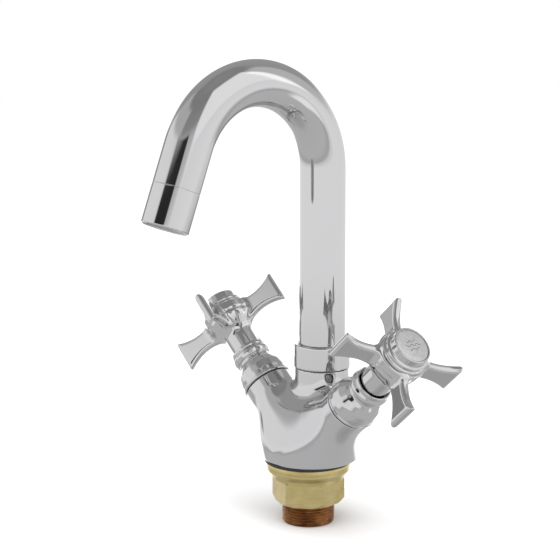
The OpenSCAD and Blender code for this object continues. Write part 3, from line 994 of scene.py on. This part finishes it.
@dataclass
class Spout:
    """The swivelling spout: collar, bent tube, nozzle and aerator."""

    axis_y: float = 10.0
    collar_low: float = 49.85
    collar_h: float = 12.4
    collar_r: float = 15.1
    tube_r: float = 12.5
    riser_low: float = 51.85
    riser_top: float = 154.6
    bend_r: float = 45.0
    bend: float = 159.0
    leg: float = 41.2
    nozzle: float = 20.0
    lip_r: float = 11.5
    aerator_up: float = 0.6
    bend_steps: int = 110

    def leg_frame(self) -> Matrix:
        """Returns the frame at the end of the bend, with Z down the outlet leg."""
        angle = math.radians(self.bend)
        out = Vector((0.0, math.cos(angle), math.sin(angle)))
        along = Vector((0.0, -math.sin(angle), math.cos(angle)))
        centre = Vector((0.0, self.axis_y - self.bend_r, self.riser_top))
        return place_of((centre + out * self.bend_r) * MM, along, Vector((1.0, 0.0, 0.0)))

    def route(self) -> list[Vector]:
        """Returns the tube's centreline: the riser, the bend and the straight above the nozzle."""
        centre = Vector((0.0, self.axis_y - self.bend_r, self.riser_top))
        points = [Vector((0.0, self.axis_y, self.riser_low))]
        for k in range(self.bend_steps + 1):
            angle = math.radians(self.bend) * k / self.bend_steps
            points.append(centre + Vector((0.0, math.cos(angle), math.sin(angle))) * self.bend_r)
        frame_end = self.leg_frame()
        points.append(frame_end @ Vector((0.0, 0.0, (self.leg - self.nozzle) * MM)) / MM)
        return points

    def collar(self) -> Piece:
        """Makes the turned collar, open round the tube."""
        low, high = self.collar_low, self.collar_low + self.collar_h
        bore = self.tube_r + 0.35
        loop = [
            (bore, low, 0.1), (self.collar_r, low, 0.3), (self.collar_r, high, 0.7),
            (bore + 0.7, high, 0.5), (bore, high - 0.8, 0.3), (self.tube_r - 0.2, high - 3.0, 0.0),
            (self.tube_r - 0.2, low + 2.0, 0.0),
        ]
        place = Matrix.Translation(Vector((0.0, self.axis_y, 0.0)) * MM)
        return turned_ring("spout_ring_collar", loop, place)

    def tube(self, sweeps: NodeTree, shop: Shop) -> Piece:
        """Sweeps the tube along its centreline."""
        curve = path_object("spout_path", [p * MM for p in self.route()])
        return sweeps.apply(
            "spout_bent_tube", curve,
            {"Radius": self.tube_r * MM, "Facets": TURNS, "Material": shop.finishes["chrome"]},
        )

    def nozzle_sleeve(self) -> Piece:
        """Makes the nozzle, with the fine seam where it meets the tube."""
        top, end = self.leg - self.nozzle, self.leg
        r = self.tube_r
        loop = [
            (r - 1.4, top - 5.0, 0.2), (r - 0.3, top - 0.02, 0.0), (r - 0.3, top + 0.22, 0.0),
            (r, top + 0.34, 0.12), (r, end, 0.9), (self.lip_r, end, 0.5), (self.lip_r, end - 11.0, 0.3),
            (r - 3.0, end - 11.0, 0.2), (r - 3.0, top - 5.0, 0.2),
        ]
        return turned_ring("spout_nozzle_sleeve", loop, self.leg_frame())

    def aerator(self) -> Piece:
        """Makes the aerator's ring."""
        outer, end = self.lip_r - 0.03, self.leg - self.aerator_up
        loop = [
            (outer, end - 8.6, 0.2), (outer, end, 0.35), (outer - 1.3, end, 0.4),
            (outer - 1.9, end - 1.6, 0.4), (outer - 1.9, end - 6.0, 0.2), (outer - 1.2, end - 8.6, 0.2),
        ]
        return turned_ring("aerator_ring", loop, self.leg_frame())

    def screen(self, wires: NodeTree, shop: Shop) -> Piece:
        """Lays the aerator's crossed wires over its flow plate."""
        plate = self.leg - self.aerator_up - 4.2
        start = turned("screen_seed", [(0.0, 0.0), (1.0, 0.0), (0.0, 0.1)], TRUE_PLACE, turns=6)
        mesh = wires.apply(
            "aerator_wires", start,
            {"Radius": 9.3 * MM, "Wire": 0.22 * MM, "Wires": 25, "Material": shop.finishes["steel"]},
        )
        mesh.data.transform(self.leg_frame() @ Matrix.Translation((0.0, 0.0, plate * MM)))
        return mesh

    def build(self, shop: Shop, sweeps: NodeTree, wires: NodeTree) -> None:
        """Makes and dresses the spout."""
        shop.dress(self.collar(), "chrome", "spout", "spout_collar")
        shop.dress(self.tube(sweeps, shop), "chrome", "spout", "spout_tube")
        shop.dress(self.nozzle_sleeve(), "chrome", "spout", "spout_nozzle")
        shop.dress(self.aerator(), "steel", "spout", "aerator_housing")
        shop.dress(self.screen(wires, shop), "steel", "spout")


def path_object(name: str, *lines: Sequence[Vector]) -> Piece:
    """Makes a curve object whose lines run straight from point to point."""
    curve = bpy.data.curves.new(name, "CURVE")
    curve.dimensions = "3D"
    for points in lines:
        spline = curve.splines.new("POLY")
        spline.points.add(len(points) - 1)
        for slot, point in zip(spline.points, points):
            slot.co = (*point, 1.0)
    made = bpy.data.objects.new(name, curve)
    bpy.context.scene.collection.objects.link(made)
    return made


@dataclass
class ValveArm:
    """What stands on one arm: the bonnet, the cross handle, its cap and its index."""

    side: Side
    clock: float
    arm_end: float = -44.0
    arm_r: float = 13.4
    bonnet_h: float = 23.5
    bead_r: float = 10.7
    barrel_r: float = 8.2
    barrel_low: float = -25.5
    head_r: float = 13.5
    head_low: float = -7.0
    head_top: float = 6.0
    tip_r: float = 33.7
    tip_half: float = 9.5
    waist_half: float = 5.4
    waist_r: float = 19.5
    hub_half: float = 6.3
    fin_t: float = 4.8
    fin_round: float = 2.15
    fin_fillet: float = 3.2
    tip_round: float = 1.2
    hub_round: float = 0.6
    rim_z: float = 3.9
    rim_half: float = 1.6
    rim_round: float = 0.8
    cross_top: float = 9.6
    cap_r: float = 10.2
    cap_top: float = 15.0
    index_r: float = 9.0
    step: float = 0.5
    joint: dict = field(default_factory=dict)

    def place(self) -> Matrix:
        """Returns the handle's frame: Z points out along the arm, from the plane of the cross."""
        sign = 1.0 if self.side is Side.COLD else -1.0
        along = -sign * Vector(self.joint["axis"])
        across = Vector((sign * along.z, 0.0, -abs(along.x)))
        return place_of(Vector(self.joint["pos_m"]), along, across)

    def bonnet(self) -> Piece:
        """Makes the domed cover, its neck and the bead round the handle's barrel."""
        base = self.arm_end
        r = self.arm_r
        recess = self.barrel_r + 0.7
        neck = self.barrel_r + 0.9
        bead, bore = self.bead_r, self.barrel_r - 3.0
        loop = [
            (r - 1.6, base + 0.7, 0.1), (r - 0.1, base + 0.7, 0.3), (r + 0.4, base + 1.2, 0.5),
            (r + 0.4, base + 2.1, 0.5), (r + 0.05, base + 2.5, 0.3), (r + 0.15, base + 5.0, 5.0),
            (r - 0.6, base + 9.0, 5.0), (r - 2.7, base + 12.6, 4.0), (neck, base + 14.6, 1.6),
            (neck, base + 16.2, 0.5), (bead - 0.7, base + 16.7, 0.8), (bead, base + 18.4, 1.4),
            (bead, base + 19.6, 1.4), (bead - 1.1, base + 21.2, 0.5), (bead - 0.7, base + 21.9, 0.5),
            (bead - 0.9, base + self.bonnet_h, 0.6), (recess, base + self.bonnet_h, 0.5),
            (recess, base + 17.9, 0.2), (bore, base + 17.9, 0.1), (bore, base + 5.0, 0.2),
            (r - 1.6, base + 5.0, 0.2),
        ]
        return turned_ring(f"{self.side.value}_dome_bonnet", loop, self.place(), facets=8)

    def seam(self) -> Piece:
        """Makes the dark seal that shows as a line between the arm and its bonnet."""
        low, high = self.arm_end + 0.02, self.arm_end + 0.7
        inner, outer = self.arm_r - 2.0, self.arm_r - 0.35
        loop = [(inner, low, 0.0), (outer, low, 0.1), (outer, high, 0.1), (inner, high, 0.0)]
        return turned_ring(f"{self.side.value}_seam_seal", loop, self.place())

    def fin(self, radial: np.ndarray, across: np.ndarray, along: np.ndarray) -> np.ndarray:
        """Measures one fin of the cross, a plate that flares towards its tip.

        Args:
            radial: Distance out from the handle's axis.
            across: Distance from the fin's middle plane.
            along: Height above the plane of the cross.

        Returns:
            The distance from each point.
        """
        past = radial - self.waist_r
        outward = (self.tip_half - self.waist_half) / (self.tip_r - self.waist_r) ** 2
        inward = (self.hub_half - self.waist_half) / (self.waist_r - self.head_r) ** 2
        curve = np.where(past > 0.0, outward, inward)
        half = self.waist_half + curve * past * past
        bend = 2.0 * curve * past
        side = (np.abs(along) - half) / np.sqrt(1.0 + bend * bend)
        plan = blend_cut(side, radial - self.tip_r, self.tip_round)
        flat = np.abs(across) - self.fin_t / 2.0
        edge = self.fin_round
        out = np.hypot(np.maximum(plan + edge, 0.0), np.maximum(flat + edge, 0.0)) - edge
        return out + np.minimum(np.maximum(plan + edge, flat + edge), 0.0)

    def cross(self, points: np.ndarray) -> np.ndarray:
        """Measures the whole cross handle.

        Args:
            points: Rows of x, y, z in the handle's frame.

        Returns:
            The distance from each point, negative inside.
        """
        x, y, z = points.T
        spread = np.hypot(x, y)
        bell = self.barrel_r + (self.head_r - self.barrel_r - 0.4) * smooth_step(self.head_low - 3.0, -0.5, z)
        hub = blend_cut((spread - bell) * 0.9, self.barrel_low - z, self.hub_round)
        hub = blend_cut(hub, z - self.head_top + 0.1, self.hub_round)
        rim = np.maximum(np.abs(z - self.rim_z) - self.rim_half, 0.0)
        ring = np.hypot(np.maximum(spread - self.head_r + self.rim_round, 0.0), rim) - self.rim_round
        hub = blend_union(hub, ring, self.rim_round)
        turn = math.radians(self.clock) * (1.0 if self.side is Side.HOT else -1.0)
        angle = np.arctan2(y, x) - turn
        folded = angle - np.round(angle / (math.pi / 2)) * (math.pi / 2)
        fins = self.fin(spread * np.cos(folded), spread * np.sin(folded), z)
        whole = blend_union(hub, fins, self.fin_fillet)
        return blend_cut(whole, z - self.cross_top, 0.5)

    def handle(self) -> Piece:
        """Makes the cross handle."""
        reach = self.tip_r + 0.8
        net = skin(self.cross, (-reach, -reach, self.barrel_low - 1.0), (reach, reach, 11.5), self.step)
        return net_object(f"{self.side.value}_cross_handle", net, self.place())

    def cap(self) -> Piece:
        """Makes the stepped cap, recessed for its index."""
        low, top, r = self.head_top - 1.0, self.cap_top, self.cap_r
        outline = [
            (0.0, low, 0.0), (r + 1.2, low, 0.2), (r + 1.2, low + 1.2, 0.3), (r + 2.2, low + 1.7, 0.7),
            (r + 2.2, low + 3.0, 0.8), (r + 1.0, low + 3.5, 0.3), (r + 1.5, low + 4.1, 0.6),
            (r + 1.4, low + 5.3, 0.7), (r + 0.3, low + 5.9, 0.3), (r + 0.1, low + 6.5, 0.3), (r, top, 1.1),
            (self.index_r + 0.15, top, 0.25), (self.index_r + 0.15, top - 0.8, 0.1), (0.0, top - 0.8, 0.0),
        ]
        return turned(f"{self.side.value}_stepped_cap", rounded(outline), self.place())

    def index(self) -> Piece:
        """Makes the slightly domed index disc."""
        top = self.cap_top
        r = self.index_r
        outline = [(0.0, top - 0.9, 0.0), (r, top - 0.9, 0.0), (r, top - 0.35, 0.2)]
        for k in range(1, 7):
            share = 1 - k / 6.0
            outline.append((r * share, top - 0.3 + 0.35 * (1 - share ** 2), 0.0))
        return turned(f"{self.side.value}_index_disc", rounded(outline), self.place())

    def mark(self, sweeps: NodeTree, shop: Shop) -> Piece:
        """Makes three fine waves on the index, a plain sign for water."""
        lines = []
        for row, half in ((-2.2, 3.2), (0.0, 4.6), (2.2, 3.2)):
            points = []
            for k in range(33):
                u = half * (2.0 * k / 32.0 - 1.0)
                lift = self.cap_top + 0.03 - 0.35 * ((u * u + row * row) / self.index_r ** 2)
                points.append(Vector((row + 0.5 * math.sin(u * 1.9), u, lift)) * MM)
            lines.append(points)
        curve = path_object(f"{self.side.value}_mark_path", *lines)
        made = sweeps.apply(
            f"{self.side.value}_index_waves", curve, {"Radius": 0.2 * MM, "Facets": 8, "Material": shop.mark}
        )
        made.data.transform(self.place())
        return made

    def build(self, shop: Shop, sweeps: NodeTree) -> None:
        """Makes and dresses everything on the arm."""
        name = self.side.value
        valve = f"{name}_valve"
        shop.dress(self.bonnet(), "chrome", "base", f"{name}_bonnet")
        shop.dress(self.seam(), "rubber", "base")
        shop.dress(self.handle(), "chrome", valve, f"{name}_handle")
        shop.dress(self.cap(), "chrome", valve, f"{name}_cap")
        shop.dress(self.index(), "index_enamel", valve, f"{name}_index")
        mark = shop.dress(self.mark(sweeps, shop), "index_enamel", valve)
        mark.data.materials[0] = shop.mark


@dataclass
class HiddenWorks:
    """The CAD parts that stay as they are and only take a finish."""

    def build(self, shop: Shop) -> None:
        """Gives every CAD node that still shows its slot's finish."""
        slots = {part["node"]: part["material_slot"] for part in frame["record"]["subparts"]}
        for name, node in frame["nodes"].items():
            node.data.materials.clear()
            node.data.materials.append(shop.finishes[slots[name]])
        LOG.info("dressed %d CAD nodes", len(frame["nodes"]))


# ---- studio ----


@dataclass(frozen=True)
class Panel:
    """A soft-edged patch of the studio's walls, seen from the object.

    Azimuth runs from the camera's side, positive to its right, in degrees.
    """

    azimuth: float
    elevation: float
    half_width: float
    half_height: float
    tone: float
    edge: float = 6.0


@dataclass
class Studio:
    """The camera, the pale floor and the soft surroundings.

    The walls are pairs of elevation and tone, from straight down to straight up.
    """

    azimuth: float = 48.44
    distance: float = 753.3
    height: float = 226.6
    aim_yaw: float = 1.127
    aim_pitch: float = 9.749
    roll: float = -0.16
    lens: float = 94.13
    floor_z: float = -33.2
    softbox_spot: Corner = (0.2, -0.3, 1.6)
    softbox_size: float = 1.6
    softbox_power: float = 9.0
    diffuser_strength: float = 2.3
    diffuser_angle: float = 70.0
    walls: tuple[Point2, ...] = (
        (-90.0, 0.44), (-76.0, 0.50), (-60.0, 0.62), (-26.0, 0.64), (-17.0, 0.55), (-13.5, 0.86),
        (-9.0, 1.02), (8.0, 0.98), (22.0, 0.62), (38.0, 0.34), (60.0, 0.30), (90.0, 0.34),
    )
    panels: tuple[Panel, ...] = (
        Panel(180.0, 42.0, 62.0, 22.0, 0.42, 14.0),
        Panel(58.0, 40.0, 37.0, 27.0, 1.10, 8.0),
        Panel(89.0, 32.0, 4.0, 24.0, 1.50, 5.0),
        Panel(108.0, 36.0, 14.0, 26.0, 0.66, 12.0),
        Panel(-82.0, 44.0, 40.0, 12.0, 0.58, 8.0),
        Panel(-88.0, 20.0, 36.0, 12.0, 0.98, 10.0),
        Panel(-131.0, 8.0, 6.0, 9.0, 0.30, 5.0),
        Panel(-24.0, 22.0, 24.0, 7.0, 0.03, 4.0),
        Panel(180.0, -8.0, 38.0, 24.0, 1.60, 10.0),
        Panel(70.0, -24.0, 7.0, 9.0, 1.15, 6.0),
    )

    def camera(self) -> None:
        """Sets up the camera where the object is seen from its cold front side."""
        data = bpy.data.cameras.new("StudioCamera")
        data.lens = self.lens
        data.sensor_width = 36.0
        data.clip_start = 0.01
        data.clip_end = 50.0
        seen = bpy.data.objects.new("StudioCamera", data)
        bpy.context.scene.collection.objects.link(seen)
        bearing = math.radians(self.azimuth)
        seen.location = (
            math.sin(bearing) * self.distance * MM, -math.cos(bearing) * self.distance * MM, self.height * MM
        )
        heading = Matrix.Rotation(bearing + math.radians(self.aim_yaw), 4, "Z")
        tip = Matrix.Rotation(math.pi / 2 - math.radians(self.aim_pitch), 4, "X")
        lean = Matrix.Rotation(math.radians(self.roll), 4, "Z")
        seen.rotation_euler = (heading @ tip @ lean).to_euler()
        bpy.context.scene.camera = seen

    def floor(self) -> None:
        """Lays a plain pale floor under the object."""
        work = bmesh.new()
        bmesh.ops.create_grid(work, x_segments=8, y_segments=8, size=4.0)
        floor = finish_mesh("floor", work, Matrix.Translation((0.0, 0.0, self.floor_z * MM)))
        build = ShaderBuild("PaleFloor")
        build.set(Base_Color=(0.9, 0.9, 0.9, 1.0), Roughness=0.9, Specular_IOR_Level=0.0)
        floor.data.materials.append(build.material)
        floor.visible_glossy = False

    def lamp(self, name: str, kind: str, power: float) -> Piece:
        """Makes a light that shines at the object but isn't mirrored in it."""
        data = bpy.data.lights.new(name, kind)
        data.energy = power
        lamp = bpy.data.objects.new(name, data)
        lamp.visible_glossy = False
        bpy.context.scene.collection.objects.link(lamp)
        return lamp

    def softbox(self) -> None:
        """Hangs a square soft light over the object."""
        box = self.lamp("TopSoftbox", "AREA", self.softbox_power)
        box.data.size = self.softbox_size
        box.location = self.softbox_spot
        box.rotation_euler = (-Vector(self.softbox_spot)).to_track_quat("-Z", "Y").to_euler()

    def diffuser(self) -> None:
        """Lights the whole floor evenly from above, with a very soft shadow."""
        sky = self.lamp("OverheadDiffuser", "SUN", self.diffuser_strength)
        sky.data.angle = math.radians(self.diffuser_angle)
        sky.rotation_euler = (math.radians(12.0), math.radians(8.0), 0.0)

    def surroundings(self) -> None:
        """Paints the studio walls that the chrome mirrors, and a plain pale backdrop behind them."""
        world = bpy.data.worlds.new("Studio")
        bpy.context.scene.world = world
        world.use_nodes = True
        world.node_tree.nodes.clear()
        graph = NodeGraph(world.node_tree)
        add, maths = graph.add, graph.maths

        def within(value: Socket, half: float, edge: float) -> Socket:
            """Returns 1 where the value is under half, with a soft edge."""
            given = {"Value": value, "From Min": half + edge / 2, "From Max": half - edge / 2}
            return add("ShaderNodeMapRange", given, interpolation_type="SMOOTHSTEP").outputs[0]

        ray = add("ShaderNodeTexCoord").outputs["Generated"]
        turned_ray = add(
            "ShaderNodeVectorRotate", {"Vector": ray, "Angle": -math.radians(self.azimuth)},
            rotation_type="Z_AXIS",
        ).outputs[0]
        parts = add("ShaderNodeSeparateXYZ", {0: turned_ray}).outputs
        azimuth = maths("DEGREES", maths("ARCTAN2", parts[0], maths("MULTIPLY", parts[1], -1.0)))
        elevation = maths("DEGREES", maths("ARCSINE", parts[2]))
        share = maths("DIVIDE", maths("ADD", elevation, 90.0), 180.0)
        ramp = add("ShaderNodeValToRGB", {0: share})
        ramp.color_ramp.interpolation = "EASE"
        while len(ramp.color_ramp.elements) < len(self.walls):
            ramp.color_ramp.elements.new(0.5)
        for element, (angle, tone) in zip(ramp.color_ramp.elements, self.walls):
            element.position = (angle + 90.0) / 180.0
            element.color = (tone, tone, tone, 1.0)
        level = ramp.outputs[0]
        for panel in self.panels:
            away = maths("ABSOLUTE", maths("WRAP", maths("SUBTRACT", azimuth, panel.azimuth), 180.0, -180.0))
            rise = maths("ABSOLUTE", maths("SUBTRACT", elevation, panel.elevation))
            wide = within(away, panel.half_width, panel.edge)
            mask = maths("MULTIPLY", wide, within(rise, panel.half_height, panel.edge))
            change = maths("MULTIPLY", mask, maths("SUBTRACT", panel.tone, level))
            level = maths("ADD", level, change)
        green, blue = maths("MULTIPLY", level, 0.992), maths("MULTIPLY", level, 1.003)
        tint = add("ShaderNodeCombineColor", {0: level, 1: green, 2: blue})
        walls_light = add("ShaderNodeBackground", {"Color": tint.outputs[0], "Strength": 1.0})
        plain = add("ShaderNodeBackground", {"Color": (1.0, 1.0, 1.0, 1.0), "Strength": 1.0})
        path = add("ShaderNodeLightPath").outputs["Is Camera Ray"]
        mix = add("ShaderNodeMixShader", {0: path, 1: walls_light.outputs[0], 2: plain.outputs[0]})
        out = add("ShaderNodeOutputWorld")
        graph.tree.links.new(mix.outputs[0], out.inputs[0])

    def build(self) -> None:
        """Sets the whole studio up."""
        bpy.context.scene.view_settings.view_transform = "Standard"
        self.camera()
        self.floor()
        self.surroundings()
        self.softbox()
        self.diffuser()


def main() -> None:
    """Builds the mixer and its studio."""
    logging.basicConfig(level=logging.INFO, format="%(name)s: %(message)s")
    shop = Shop()
    sweeps, threads, wires = sweep_tree(), thread_tree(), screen_tree()
    joints = {joint["name"]: joint for joint in frame["record"]["behaviour"]["joints"]}
    HiddenWorks().build(shop)
    Casting().build(shop)
    DeckFixing().build(shop, threads)
    Spout().build(shop, sweeps, wires)
    for side, clock in ((Side.HOT, 33.0), (Side.COLD, 27.0)):
        ValveArm(side, clock, joint=joints[f"{side.value}_handle_turn"]).build(shop, sweeps)
    Studio().build()


if __name__ == "__main__":
    main()
